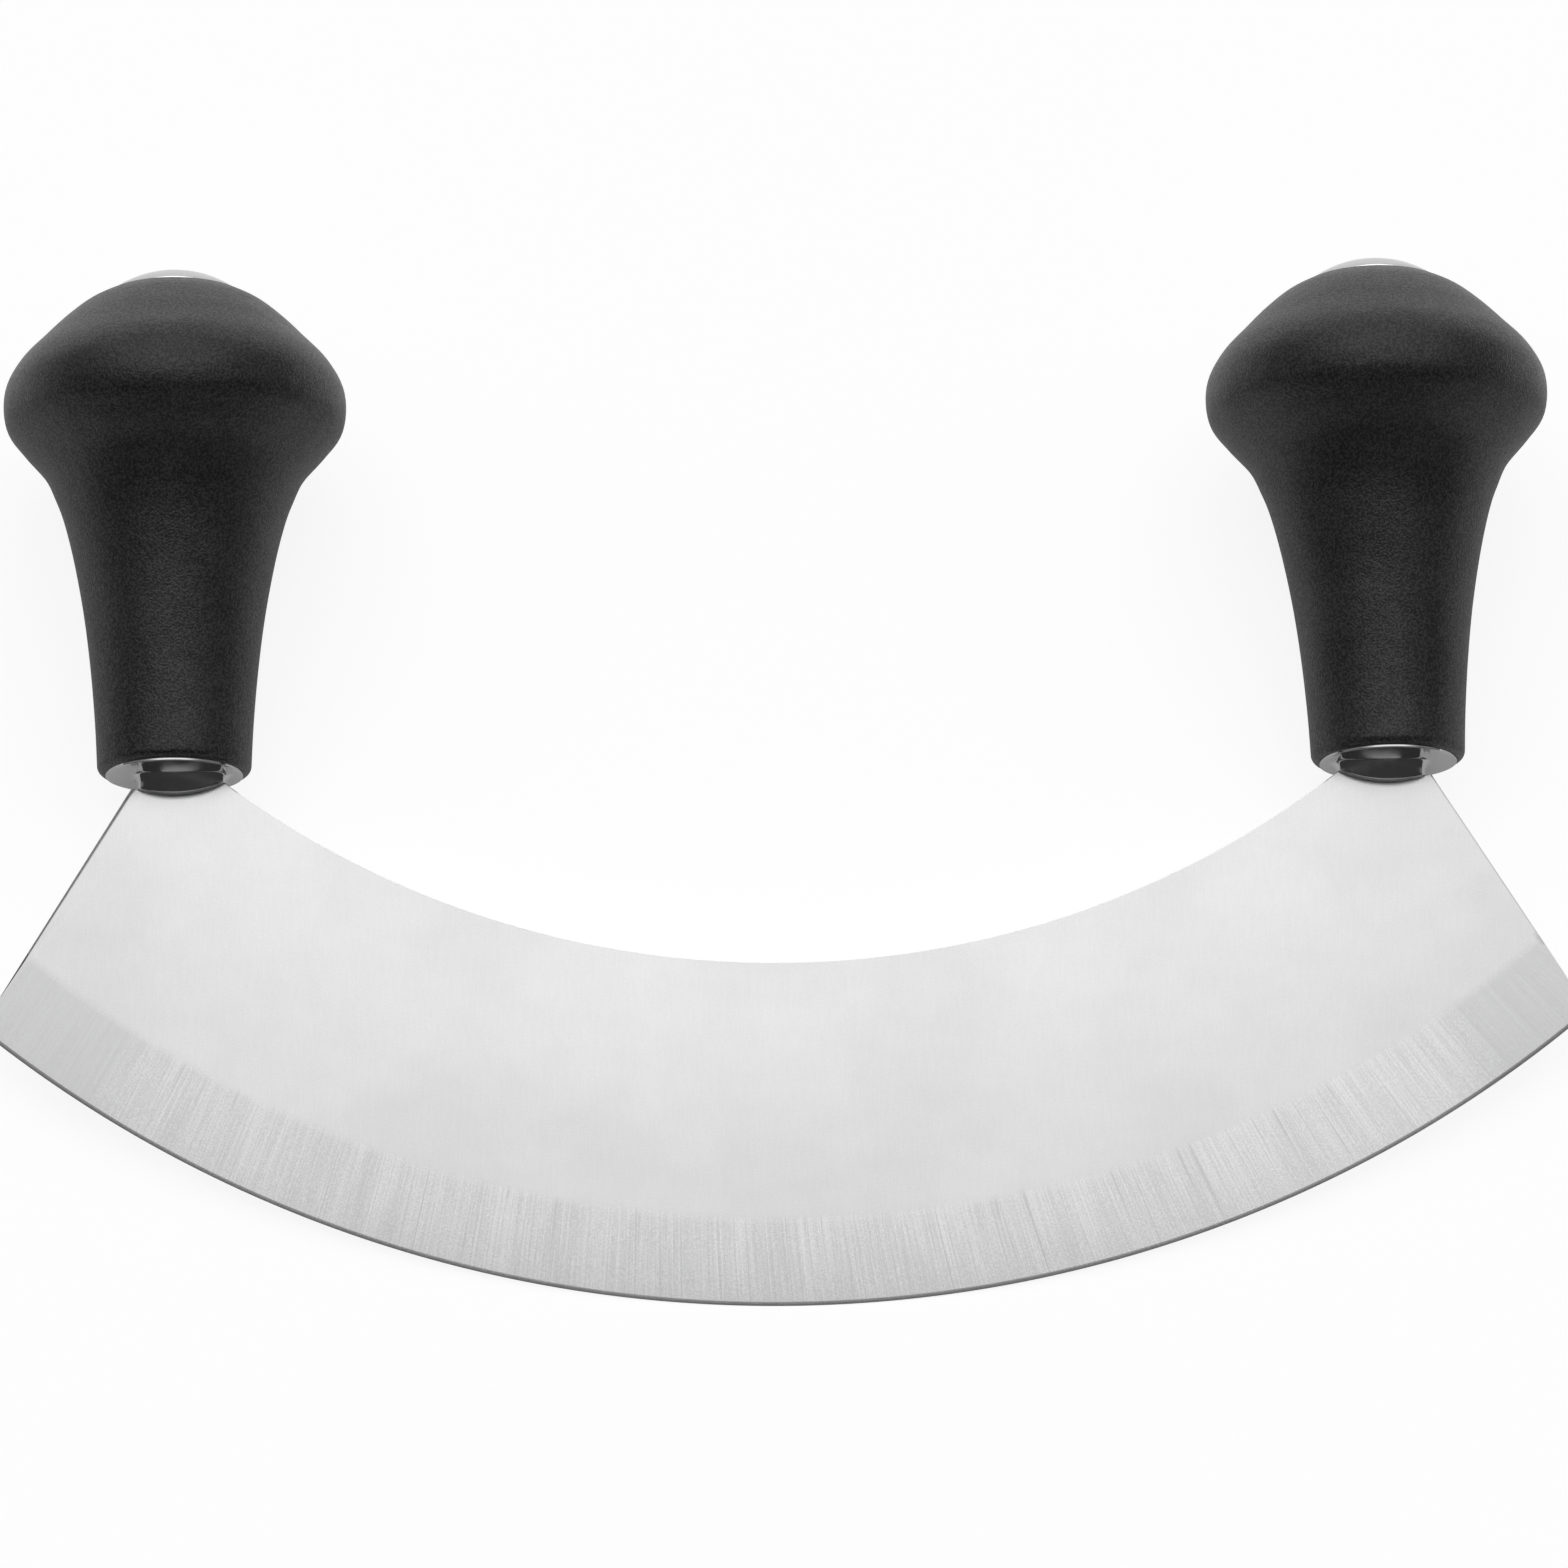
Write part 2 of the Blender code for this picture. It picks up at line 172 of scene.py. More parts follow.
# Noise of the effects: its detail and roughness, and the limits between which it runs from 0 to 1
LINE_NOISE = (1.0, 0.6)
BAND_NOISE = (1.0, 0.5)
SCRATCH_NOISE = (0.0, 0.5)
HAZE_NOISE = (3.0, 0.55)
GRAIN_NOISE = (1.0, 0.6)
NOISE_LIMITS = (0.3, 0.7)
SCRATCH_LIMITS = (0.70, 0.78)
PIT_LIMITS = (0.41, 0.61)
SCRATCH_WIDTH_SHARE = 2.2  # of a line's width

# Blade finish: colours are linear, and weights stand in the order of the marks that they belong to
GROUND_LINES = {"Line_Width": 0.00030, "Line_Length": 0.03, "Band_Width": 0.005}
FINE_GROUND_LINES = {"Line_Width": 0.00014, "Line_Length": 0.012, "Band_Width": 0.0012}
SATIN_LINES = {"Line_Width": 0.00025, "Line_Length": 0.004, "Band_Width": 0.006}
BLADE_PATCH = 0.03
BLADE_GRAIN = 0.00024
GRIND_WANDER = 0.0002
BEVEL_LIMITS = (1.1, 0.9)  # shares of the bevel's width
SATIN_WEIGHTS = (0.10, 0.08, 0.14, 0.16, 0.5)
SATIN_COLOURS = ((0.77, 0.77, 0.775), (0.96, 0.96, 0.96))
SATIN_ROUGHNESS = (0.30, 0.34)
SATIN_RELIEF_SHARE = 0.2
STREAK_WEIGHTS = (0.28, 0.20, -0.5, 0.12, 0.15, 0.28)
# The ground zone's colour turns darker towards both ends of the blade, past these angles
DARKER_GROUND_ENDS = (0.54, 0.64)  # angle from the blade's middle, in radians
# Weights of the ground zone's streaks, of a painted light that makes it lighter towards the blade's right end,
# and of its darkening towards both ends
GROUND_TONE_AND_PAINTED_LIGHT_WEIGHTS = (1.0, 0.34, -1.0)
GROUND_COLOURS = ((0.63, 0.63, 0.635), (0.79, 0.79, 0.79))
GROUND_LIMITS = (0.2, 0.8)
GROUND_ROUGHNESS = (0.25, 0.21)
BEVEL_ROUGHNESS = 0.55
BLADE_RELIEF = {"Strength": 0.15, "Distance": 0.00002}

# Polished steel of bolsters and end caps
BUFFING_LINES = {"Line_Width": 0.00012, "Line_Length": 0.004, "Band_Width": 0.003}
BUFFING_PATCH = 0.006
BUFFING_WEIGHTS = (0.4, 0.4)
POLISHED_COLOURS = ((0.66, 0.66, 0.67), (0.76, 0.76, 0.76))
POLISHED_ROUGHNESS = (0.07, 0.13)
POLISHED_RELIEF = {"Strength": 0.05, "Distance": 0.00001}

# Black plastic of the knobs
PLASTIC_GRAIN = 0.00032
PLASTIC_PATCH = 0.012
PLASTIC_WEIGHTS = (0.8, 0.2)
PLASTIC_COLOURS = ((0.0005, 0.0005, 0.0005), (0.062, 0.062, 0.0625))
PLASTIC_ROUGHNESS = (0.42, 0.34)
PLASTIC_HOLLOWS = {"Strength": 1.0, "Distance": 0.00012}
PLASTIC_RELIEF = {"Strength": 1.0, "Distance": 0.00009}
PLASTIC_GLOSS = 0.65

# Plain steel of the hidden rod, washer and nut
DRAWN_LINES = {"Line_Width": 0.0003, "Line_Length": 0.01, "Band_Width": 0.002}
DRAWN_PATCH = 0.004
DRAWN_WEIGHTS = (0.5, 0.5)
DRAWN_COLOURS = ((0.45, 0.45, 0.46), (0.62, 0.62, 0.62))
DRAWN_ROUGHNESS = (0.45, 0.3)
DRAWN_RELIEF = {"Strength": 0.2, "Distance": 0.00003}

# Table
FLOOR_SIZE = 6.0
FLOOR_ROUGHNESS = 0.9
FLOOR_LIT = (0.9, 0.9, 0.9)
FLOOR_SEEN = (0.3, 0.3, 0.3)
FLOOR_GLOW_LIT = 0.45
# In the steel's reflections the floor glows less in front of the knobs' heads, where the tool lies: a painted
# shade
FLOOR_GLOW_MIRRORED = (0.1, 0.4)  # in front of the knobs' heads and behind them
HEADS_PLACE = (0.060, 0.078)
FLOOR_GLOW_SEEN = 0.87

# Tent: limits are parts of a direction of length 1, and a row of four ends with the brightness at both limits
TENT_OPENING = radians(11)  # past the zenith, towards the camera
TENT_EDGE = (-0.01, 0.045)
TENT_WALLS = (0.30, 0.78, 1.0, 0.15)
BACK_WALL = (0.25, 0.62, 0.08, 0.72)
BACK_WALL_SIDES = (0.40, 0.90, 1.0, 0.0)
BACK_WALL_START = (0.12, 0.40)
HORIZON = (0.06, 0.15, 2.1, 0.0)  # bright strip low behind the knobs
HORIZON_SIDES = (0.40, 0.80, 1.0, 0.0)
TENT_LEVEL = 1.05
DARK_LEVEL = 0.04
BACKDROP_LEVEL = 1.0

# Lamp on the camera's side
LAMP_LEAN = radians(40)  # from the zenith, towards the camera
LAMP_HALF_SIZES = (radians(5), 0.22)  # as an angle along the lean, and as a part of the direction along X
LAMP_EDGE = (0.5, 1.0, 1.0, 0.0)
LAMP_LEVEL = 0.34

SIDES = {"left": -1, "right": 1}


def end_line_point(radius):
    """(x, z) where the blade's right end line crosses a circle about the arcs' centre."""
    corner = Vector((BLADE_LENGTH / 2, -sqrt(EDGE_RADIUS**2 - (BLADE_LENGTH / 2) ** 2)))
    upward = Vector((-sin(END_SLOPE), cos(END_SLOPE)))
    nearest = -corner.dot(upward)
    return corner + upward * (nearest - sqrt(nearest**2 - EDGE_RADIUS**2 + radius**2))


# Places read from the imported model
def corners_of(node, laid_down):
    """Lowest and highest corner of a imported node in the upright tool's axes."""
    stand_up = laid_down.inverted()
    points = [stand_up @ vertex.co for vertex in frame["nodes"][node].data.vertices]
    low = Vector(min(point[axis] for point in points) for axis in range(3))
    high = Vector(max(point[axis] for point in points) for axis in range(3))
    return low, high


def find_laid_down():
    """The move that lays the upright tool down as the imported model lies."""
    cheek = next(mount for mount in frame["record"]["mounts"] if mount["name"] == "front_cheek")
    forward, up = cheek["axis"][1:]
    turn = Matrix.Rotation(atan2(-forward, up) - pi / 2, 4, "X")
    low, high = corners_of("blade", turn)
    arcs_centre = Vector((0, (low.y + high.y) / 2, low.z + EDGE_RADIUS))
    return Matrix.Translation(turn @ arcs_centre) @ turn


LAID_DOWN = find_laid_down()
SPINE_RADIUS = EDGE_RADIUS - BLADE_WIDTH
KNOB_LOW, KNOB_HIGH = corners_of("knob_right", LAID_DOWN)
CAP_LOW, CAP_HIGH = corners_of("end_cap_right", LAID_DOWN)
BOLSTER_LOW, BOLSTER_HIGH = corners_of("bolster_right", LAID_DOWN)
AXIS_X = (KNOB_LOW.x + KNOB_HIGH.x) / 2
FLANGE_Z = KNOB_LOW.z - FLANGE_REVEAL
FLANGE_RADIUS = (BOLSTER_HIGH.x - BOLSTER_LOW.x) / 2
CAP_RADIUS = (CAP_HIGH.x - CAP_LOW.x) / 2
RIM_LEVEL = KNOB_HIGH.z - FLANGE_Z
KNOB_HEIGHT = RIM_LEVEL - FLANGE_REVEAL
FOOT_RADIUS = FLANGE_RADIUS + PACKED_GAP + FOOT_LIP
RIM_RADIUS = CAP_RADIUS + PACKED_GAP + RIM_LIP
SPIGOT_TOP = FLANGE_THICKNESS + SPIGOT_LENGTH
UNDERSIDE_CENTRE = TONGUE_UNDERSIDE_RADIUS - TONGUE_DEPTH


# Modelling by hand
def deselect():
    bpy.ops.object.select_all(action="DESELECT")


def open_piece(name):
    """Names the primitive just added and opens it for editing with all of it selected."""
    piece = bpy.context.object
    piece.name = name
    piece.data.name = name
    bpy.ops.object.mode_set(mode="EDIT")
    bpy.ops.mesh.select_mode(type="VERT")
    bpy.ops.mesh.select_all(action="SELECT")
    return piece


def close_piece():
    """Welds the open piece, turns its faces outward and leaves edit mode."""
    bpy.ops.mesh.select_all(action="SELECT")
    bpy.ops.mesh.remove_doubles(threshold=MERGE)
    bpy.ops.mesh.normals_make_consistent(inside=False)
    bpy.ops.object.mode_set(mode="OBJECT")


def select_only(piece, kind, chosen):
    """Selects the vertices, edges or faces of the open piece that the test picks."""
    bpy.ops.mesh.select_mode(type={"verts": "VERT", "edges": "EDGE", "faces": "FACE"}[kind])
    bpy.ops.mesh.select_all(action="DESELECT")
    mesh = bmesh.from_edit_mesh(piece.data)
    for part in getattr(mesh, kind):
        if chosen(part):
            part.select_set(True)
    mesh.select_flush_mode()
    bmesh.update_edit_mesh(piece.data)


def draw_chain(name, points):
    """Draws a chain of edges through the points, one extrusion after another, all selected at the end."""
    deselect()
    bpy.ops.mesh.primitive_plane_add(size=POINT_SIZE)
    piece = open_piece(name)
    bpy.ops.mesh.merge(type="CENTER")
    bpy.ops.transform.translate(value=points[0])
    for here, there in zip(points, points[1:]):
        bpy.ops.mesh.extrude_region_move(TRANSFORM_OT_translate={"value": there - here})
    bpy.ops.mesh.select_all(action="SELECT")
    bpy.ops.mesh.remove_doubles(threshold=MERGE)
    return piece


def turned(name, profile):
    """Turns a half profile of (radius, height) points about the upright axis."""
    piece = draw_chain(name, [Vector((radius, 0, height)) for radius, height in profile])
    bpy.ops.mesh.spin(steps=ROUND_STEPS, angle=2 * pi, center=(0, 0, 0), axis=(0, 0, 1))
    close_piece()
    return piece


def use_tool(piece, operation, tool):
    """Joins or cuts the piece with a tool shape, and takes the tool away."""
    deselect()
    bpy.context.view_layer.objects.active = piece
    modifier = piece.modifiers.new(operation, "BOOLEAN")
    modifier.operation = operation
    modifier.object = tool
    modifier.solver = "EXACT"
    bpy.ops.object.modifier_apply(modifier=modifier.name)
    bpy.data.objects.remove(tool)


def block(name, width, depth, bottom, top, middle):
    """A tool block of real size, upright at x = middle."""
    place = (middle, 0, (bottom + top) / 2)
    deselect()
    bpy.ops.mesh.primitive_cube_add(size=1, location=place, scale=(width, depth, top - bottom))
    piece = open_piece(name)
    close_piece()
    return piece


def bar_across(name, radius, depth, x, z):
    """A round tool bar along Y."""
    deselect()
    bpy.ops.mesh.primitive_cylinder_add(
        vertices=UNDERSIDE_STEPS, radius=radius, depth=depth, location=(x, 0, z), rotation=(pi / 2, 0, 0)
    )
    piece = open_piece(name)
    close_piece()
    bpy.ops.object.transform_apply(location=True, rotation=True, scale=True)
    return piece


def smooth(piece):
    """Smooth shading that keeps crisp edges and flat faces."""
    deselect()
    piece.select_set(True)
    bpy.context.view_layer.objects.active = piece
    bpy.ops.object.shade_smooth_by_angle(angle=SHARP_ANGLE)
    weighted = piece.modifiers.new("flat faces", "WEIGHTED_NORMAL")
    weighted.keep_sharp = True
    bpy.ops.object.modifier_apply(modifier=weighted.name)


def lay_down(piece, place=Vector()):
    """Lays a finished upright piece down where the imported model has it, with its object at the origin."""
    deselect()
    piece.select_set(True)
    bpy.context.view_layer.objects.active = piece
    piece.matrix_world = LAID_DOWN @ Matrix.Translation(place) @ piece.matrix_world
    bpy.ops.object.transform_apply(location=True, rotation=True, scale=True)


def dress(piece, slot, finish, *nodes):
    piece.data.materials.clear()
    piece.data.materials.append(finish)
    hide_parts(*nodes)
    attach(piece, "root")


def curve_through(points):
    """A smooth curve through all the points, each tangent set by its neighbours."""
    points = [Vector(point) for point in points]
    run = [points[0], *points, points[-1]]
    curve = []
    for before, start, end, after in zip(run, run[1:], run[2:], run[3:]):
        lead = start + (end - before) * TANGENT_SHARE
        trail = end - (after - start) * TANGENT_SHARE
        curve += interpolate_bezier(start, lead, trail, end, CURVE_STEPS + 1)[:-1]
    return curve + [points[-1]]


def quarter(centre, radius_out, radius_up, start, steps=CORNER_STEPS):
    """Points of a quarter turn, in (radius, height), that runs on from the start angle."""
    points = []
    for step in range(steps + 1):
        angle = start + step / steps * pi / 2
        points.append((centre[0] + radius_out * cos(angle), centre[1] + radius_up * sin(angle)))
    return points


# Blade
def blade_section():
    """(radius, half thickness) down the front of the blade, from the spine to the cutting edge."""
    half = BLADE_THICKNESS / 2
    grind = EDGE_RADIUS - GRIND_WIDTH
    bevel = EDGE_RADIUS - EDGE_BEVEL_WIDTH
    slope = (half - EDGE_BEVEL_THICKNESS / 2) / (bevel - grind)
    support = GRIND_BLEND * BLEND_SUPPORT_SHARE
    return [
        (SPINE_RADIUS, half - SPINE_EASING),
        (SPINE_RADIUS + SPINE_EASING, half),
        (SPINE_RADIUS + SPINE_EASING * SPINE_SUPPORT_SHARE, half),
        (grind - support, half),
        (grind - GRIND_BLEND, half),
        (grind, half - slope * GRIND_BLEND * BLEND_DIP_SHARE),
        (grind + GRIND_BLEND, half - slope * GRIND_BLEND),
        (grind + support, half - slope * support),
        (bevel, EDGE_BEVEL_THICKNESS / 2),
        (EDGE_RADIUS, 0),
    ]


def trim_end(point, outward):
    """Cuts the open piece off past a plane and caps it."""
    bpy.ops.mesh.select_all(action="SELECT")
    bpy.ops.mesh.bisect(plane_co=point, plane_no=outward, use_fill=True, clear_outer=True)


def model_blade(finish):
    """Sweeps the ground section along the arc, trims and eases the ends, and cuts the shoulders and tangs."""
    section = blade_section()
    outline = section + [(radius, -half) for radius, half in section[-2::-1]]
    start = BLADE_SWEEP / 2
    points = [Vector((-radius * sin(start), -half, -radius * cos(start))) for radius, half in outline]
    blade = draw_chain("curved_blade", points + points[:1])
    bpy.ops.mesh.spin(steps=BLADE_STEPS, angle=BLADE_SWEEP, center=(0, 0, 0), axis=(0, 1, 0))
    corner = end_line_point(EDGE_RADIUS)
    half = BLADE_THICKNESS / 2
    for sign in SIDES.values():
        outward = Vector((sign * cos(END_SLOPE), 0, sin(END_SLOPE)))
        end = Vector((sign * corner.x, 0, corner.y))
        trim_end(end, outward)
        for face in (-1, 1):
            eased = end + Vector((0, face * half, 0)) - outward * END_EASING
            trim_end(eased, (outward + Vector((0, face, 0))).normalized())
        if sign < 0:
            front = end - Vector((0, half, 0))
            filed = front - outward * FILED_WIDTH
            trim_end(filed, outward * sin(FILED_SLOPE) - Vector((0, cos(FILED_SLOPE), 0)))
            depth = (FILED_WIDTH - FILED_EDGE_WIDTH) * tan(FILED_SLOPE)
            edge = front + Vector((0, depth, 0)) - outward * FILED_EDGE_WIDTH
            trim_end(edge, outward * sin(FILED_EDGE_SLOPE) - Vector((0, cos(FILED_EDGE_SLOPE), 0)))
    close_piece()
    for side, sign in SIDES.items():
        middle = sign * (AXIS_X - TONGUE_INSET)
        shoulder = TONGUE_UNDERSIDE_RADIUS + SEAT
        through = BLADE_THICKNESS + OVERRUN
        cutter = bar_across(f"shoulder_{side}", shoulder, through, sign * AXIS_X, FLANGE_Z + UNDERSIDE_CENTRE)
        use_tool(blade, "DIFFERENCE", cutter)
        root = FLANGE_Z - TONGUE_DEPTH - OVERRUN
        top = FLANGE_Z + FLANGE_THICKNESS * TANG_REACH_SHARE
        use_tool(blade, "UNION", block(f"tang_{side}", TANG_WIDTH, TANG_THICKNESS, root, top, middle))
    smooth(blade)
    lay_down(blade)
    dress(blade, "blade_steel", finish, "blade")


# Bolsters
def tongue_rings():
    """(level, width, depth) of the tongue, from the flange down its fillet and on past its underside."""
    levels = []
    for step in range(FILLET_STEPS + 1):
        turn = step / FILLET_STEPS * pi / 2
        levels.append((-FILLET_HEIGHT * (1 - cos(turn)), 1 - sin(turn)))
    below = TONGUE_DEPTH + OVERRUN - FILLET_HEIGHT
    for step in range(1, CROWN_STEPS + 1):
        levels.append((-FILLET_HEIGHT - below * step / CROWN_STEPS, 0))
    rings = []
    for level, growth in levels:
        crown = level * tan(TONGUE_DRAFT) - level**2 / (2 * TONGUE_CROWN_RADIUS)
        width = TONGUE_WIDTH + 2 * FILLET_SIDE * growth
        rings.append((level, width, TONGUE_THICKNESS + 2 * crown))
    return rings


def tongue_outline(middle, inward, width, depth):
    """A superellipse in plan, thicker towards the blade's middle than at the blade's end."""
    points = []
    for step in range(TONGUE_STEPS):
        turn = 2 * pi * step / TONGUE_STEPS
        along = copysign(abs(cos(turn)) ** (2 / TONGUE_ROUNDNESS), cos(turn))
        across = copysign(abs(sin(turn)) ** (2 / TONGUE_ROUNDNESS), sin(turn))
        taper = 1 + TONGUE_TAPER_SHARE * along * inward
        points.append(Vector((middle + along * width / 2, across * taper * depth / 2, 0)))
    return points + points[:1]


def model_tongue(side, inward):
    """Fills the outline, extrudes it down ring by ring, and rounds the underside along the blade's arc."""
    middle = inward * TONGUE_INSET
    rings = tongue_rings()
    tongue = draw_chain(f"tongue_{side}", tongue_outline(middle, inward, rings[0][1], rings[0][2]))
    bpy.ops.mesh.edge_face_add()
    for (level, width, depth), (lower, lower_width, lower_depth) in zip(rings, rings[1:]):
        bpy.ops.mesh.extrude_region_move(TRANSFORM_OT_translate={"value": (0, 0, lower - level)})
        share = (lower_width / width, lower_depth / depth, 1)
        bpy.ops.transform.resize(value=share, center_override=(middle, 0, lower))
    close_piece()
    bpy.ops.object.transform_apply(location=True, rotation=True, scale=True)
    bar = bar_across(f"underside_{side}", TONGUE_UNDERSIDE_RADIUS, TONGUE_BAR_LENGTH, 0, UNDERSIDE_CENTRE)
    use_tool(tongue, "INTERSECT", bar)
    deselect()
    bpy.context.view_layer.objects.active = tongue
    bpy.ops.object.mode_set(mode="EDIT")

    def is_lower_edge(edge):
        is_sharp = len(edge.link_faces) == 2 and edge.calc_face_angle() > TONGUE_EDGE_ANGLE
        return is_sharp and edge.verts[0].co.z < -FILLET_HEIGHT / 2

    select_only(tongue, "edges", is_lower_edge)
    bpy.ops.mesh.bevel(offset=TONGUE_EDGE_ROUNDING, segments=TONGUE_EDGE_STEPS, profile=0.5)
    bpy.ops.object.mode_set(mode="OBJECT")
    return tongue


def extrude_ring(radius, next_radius, step_up):
    """Extrudes the selected ring up, or down by a step below 0, and scales it to the next radius."""
    share = next_radius / radius
    bpy.ops.mesh.extrude_region_move(TRANSFORM_OT_translate={"value": (0, 0, step_up)})
    bpy.ops.transform.resize(value=(share, share, 1), center_override=(0, 0, 0))


def model_flange(side):
    """Grows the flange, the spigot and its rod hole from one ring, extrusion by extrusion."""
    spigot = SPIGOT_DIAMETER / 2
    hole_floor = FLANGE_THICKNESS + SPIGOT_FLOOR
    corner = (FLANGE_RADIUS - FLANGE_EASING, FLANGE_EASING)
    outline = quarter(corner, FLANGE_EASING, FLANGE_EASING, -pi / 2, FLANGE_EASING_STEPS)
    outline += [
        (FLANGE_RADIUS, FLANGE_THICKNESS),
        (spigot, FLANGE_THICKNESS),
        (spigot, SPIGOT_TOP - SPIGOT_CHAMFER),
        (spigot - SPIGOT_CHAMFER, SPIGOT_TOP),
        (ROD_BORE_RADIUS, SPIGOT_TOP),
        (ROD_BORE_RADIUS, hole_floor),
    ]
    deselect()
    bpy.ops.mesh.primitive_circle_add(vertices=ROUND_STEPS, radius=outline[0][0], location=(0, 0, 0))
    flange = open_piece(f"{side}_bolster")
    for (radius, level), (next_radius, next_level) in zip(outline, outline[1:]):
        extrude_ring(radius, next_radius, next_level - level)
    bpy.ops.mesh.edge_face_add()
    bpy.ops.object.mode_set(mode="OBJECT")
    return flange


def model_bolster(side, sign, finish):
    """Fills in the flange's underside round the tongue, and cuts the tang's pocket."""
    middle = -sign * TONGUE_INSET
    tongue = model_tongue(side, -sign)
    flange = model_flange(side)
    deselect()
    tongue.select_set(True)
    flange.select_set(True)
    bpy.context.view_layer.objects.active = flange
    bpy.ops.object.join()
    bpy.ops.object.mode_set(mode="EDIT")
    select_only(flange, "faces", lambda face: all(abs(vertex.co.z) < MERGE for vertex in face.verts))
    bpy.ops.mesh.delete(type="FACE")

    def is_open(edge):
        return len(edge.link_faces) == 1 and all(abs(vertex.co.z) < MERGE for vertex in edge.verts)

    select_only(flange, "edges", is_open)
    bpy.ops.mesh.fill()
    close_piece()
    pocket_width = TANG_WIDTH + 2 * SEAT
    pocket_depth = TANG_THICKNESS + 2 * SEAT
    pocket_top = FLANGE_THICKNESS * TANG_REACH_SHARE + SEAT
    pocket = block(f"pocket_{side}", pocket_width, pocket_depth, -TONGUE_DEPTH - OVERRUN, pocket_top, middle)
    use_tool(flange, "DIFFERENCE", pocket)
    smooth(flange)
    lay_down(flange, Vector((sign * AXIS_X, 0, FLANGE_Z)))
    dress(flange, "polished_steel", finish, f"bolster_{side}")


# Knobs and end caps
def knob_outline():
    """Outer outline of the knob from the inner edge of its foot up to the rim round the end cap."""
    foot_corner = (FLANGE_RADIUS + SEAT, FLANGE_REVEAL + FOOT_ROUNDING)
    foot = quarter(foot_corner, FOOT_RADIUS - foot_corner[0], FOOT_ROUNDING, -pi / 2)[:-1]
    swell = HEAD_DIAMETER / 2 - FOOT_RADIUS
    body = [(FOOT_RADIUS + swell * out, FLANGE_REVEAL + KNOB_HEIGHT * up) for out, up in KNOB_PROFILE_SHARES]
    return foot + [tuple(point) for point in curve_through(body + [(RIM_RADIUS, RIM_LEVEL - RIM_DROP)])]


def model_knob(side, sign, finish):
    """Turned knob, bored for spigot and rod, with the socket for washer, nut and cap in its head."""
    spigot_bore = SPIGOT_DIAMETER / 2 + SEAT
    cap_seat = RIM_LEVEL - CAP_EDGE - SEAT
    socket_floor = RIM_LEVEL - CAP_EDGE - PACKED_GAP - SOCKET_DEPTH
    inside = [
        (CAP_RADIUS + SEAT + RIM_ROUNDING, RIM_LEVEL - RIM_DROP),
        (CAP_RADIUS + SEAT, RIM_LEVEL - RIM_DROP - RIM_ROUNDING),
        (CAP_RADIUS + SEAT, cap_seat),
        (SOCKET_RADIUS, cap_seat),
        (SOCKET_RADIUS, socket_floor),
        (ROD_BORE_RADIUS, socket_floor),
        (ROD_BORE_RADIUS, SPIGOT_TOP + SEAT),
        (spigot_bore, SPIGOT_TOP + SEAT),
        (spigot_bore, FLANGE_THICKNESS + SEAT),
        (FLANGE_RADIUS + SEAT, FLANGE_THICKNESS + SEAT),
    ]
    outline = knob_outline() + inside
    knob = turned(f"{side}_grip_knob", outline + outline[:1])
    smooth(knob)
    lay_down(knob, Vector((sign * AXIS_X, 0, FLANGE_Z)))
    dress(knob, "black_plastic", finish, f"knob_{side}")


def model_cap(side, sign, finish):
    """Spun dome with a rolled edge and a skirt that presses into the socket."""
    ball = (CAP_RADIUS**2 + CAP_DOME_RISE**2) / (2 * CAP_DOME_RISE)
    centre = RIM_LEVEL + CAP_DOME_RISE - ball
    widest = asin(CAP_RADIUS / ball)
    dome = []
    for step in range(DOME_STEPS, -1, -1):
        turn = widest * step / DOME_STEPS
        dome.append((ball * sin(turn), centre + ball * cos(turn)))
    head = RIM_LEVEL - CAP_EDGE
    skirt = SOCKET_RADIUS - SEAT
    profile = [
        (0, head),
        (skirt - CAP_WALL, head),
        (skirt - CAP_WALL, head - SKIRT_LENGTH),
        (skirt, head - SKIRT_LENGTH),
        (skirt, head),
        (CAP_RADIUS, head),
        (CAP_RADIUS, RIM_LEVEL - CAP_EDGE_ROUNDING),
        *dome[1:],
    ]
    cap = turned(f"{side}_end_cap", profile)
    smooth(cap)
    lay_down(cap, Vector((sign * AXIS_X, 0, FLANGE_Z)))
    dress(cap, "polished_steel", finish, f"end_cap_{side}")


# Finishes
def shader_tree(name):
    """A new material, its node tree and its Principled shader."""
    finish = bpy.data.materials.new(name)
    finish.use_nodes = True
    return finish, finish.node_tree, finish.node_tree.nodes["Principled BSDF"]


def add(tree, kind, **settings):
    """Adds a node. Settings that name an input set its value, or link it if the value is a socket."""
    made = tree.nodes.new(kind)
    for key, value in settings.items():
        if hasattr(made, key):
            setattr(made, key, value)
    for key, value in settings.items():
        if not hasattr(made, key):
            feed(tree, made.inputs[key.replace("_", " ")], value)
    return made


def feed(tree, socket, value):
    if isinstance(value, bpy.types.NodeSocket):
        tree.links.new(value, socket)
    else:
        socket.default_value = value


def maths(tree, operation, *values, clamp=False):
    """A Math node on numbers and sockets."""
    made = tree.nodes.new("ShaderNodeMath")
    made.operation = operation
    made.use_clamp = clamp
    for socket, value in zip(made.inputs, values):
        feed(tree, socket, value)
    return made.outputs[0]


def ramp(tree, value, low, high, to_low=0.0, to_high=1.0):
    """Smooth step of a value between two limits."""
    made = tree.nodes.new("ShaderNodeMapRange")
    made.interpolation_type = "SMOOTHSTEP"
    for socket, number in zip(made.inputs, (value, low, high, to_low, to_high)):
        feed(tree, socket, number)
    return made.outputs[0]


def noise(tree, vector, scale, detail, roughness):
    made = tree.nodes.new("ShaderNodeTexNoise")
    for key, value in (("Vector", vector), ("Scale", scale), ("Detail", detail), ("Roughness", roughness)):
        feed(tree, made.inputs[key], value)
    return made.outputs["Fac"]


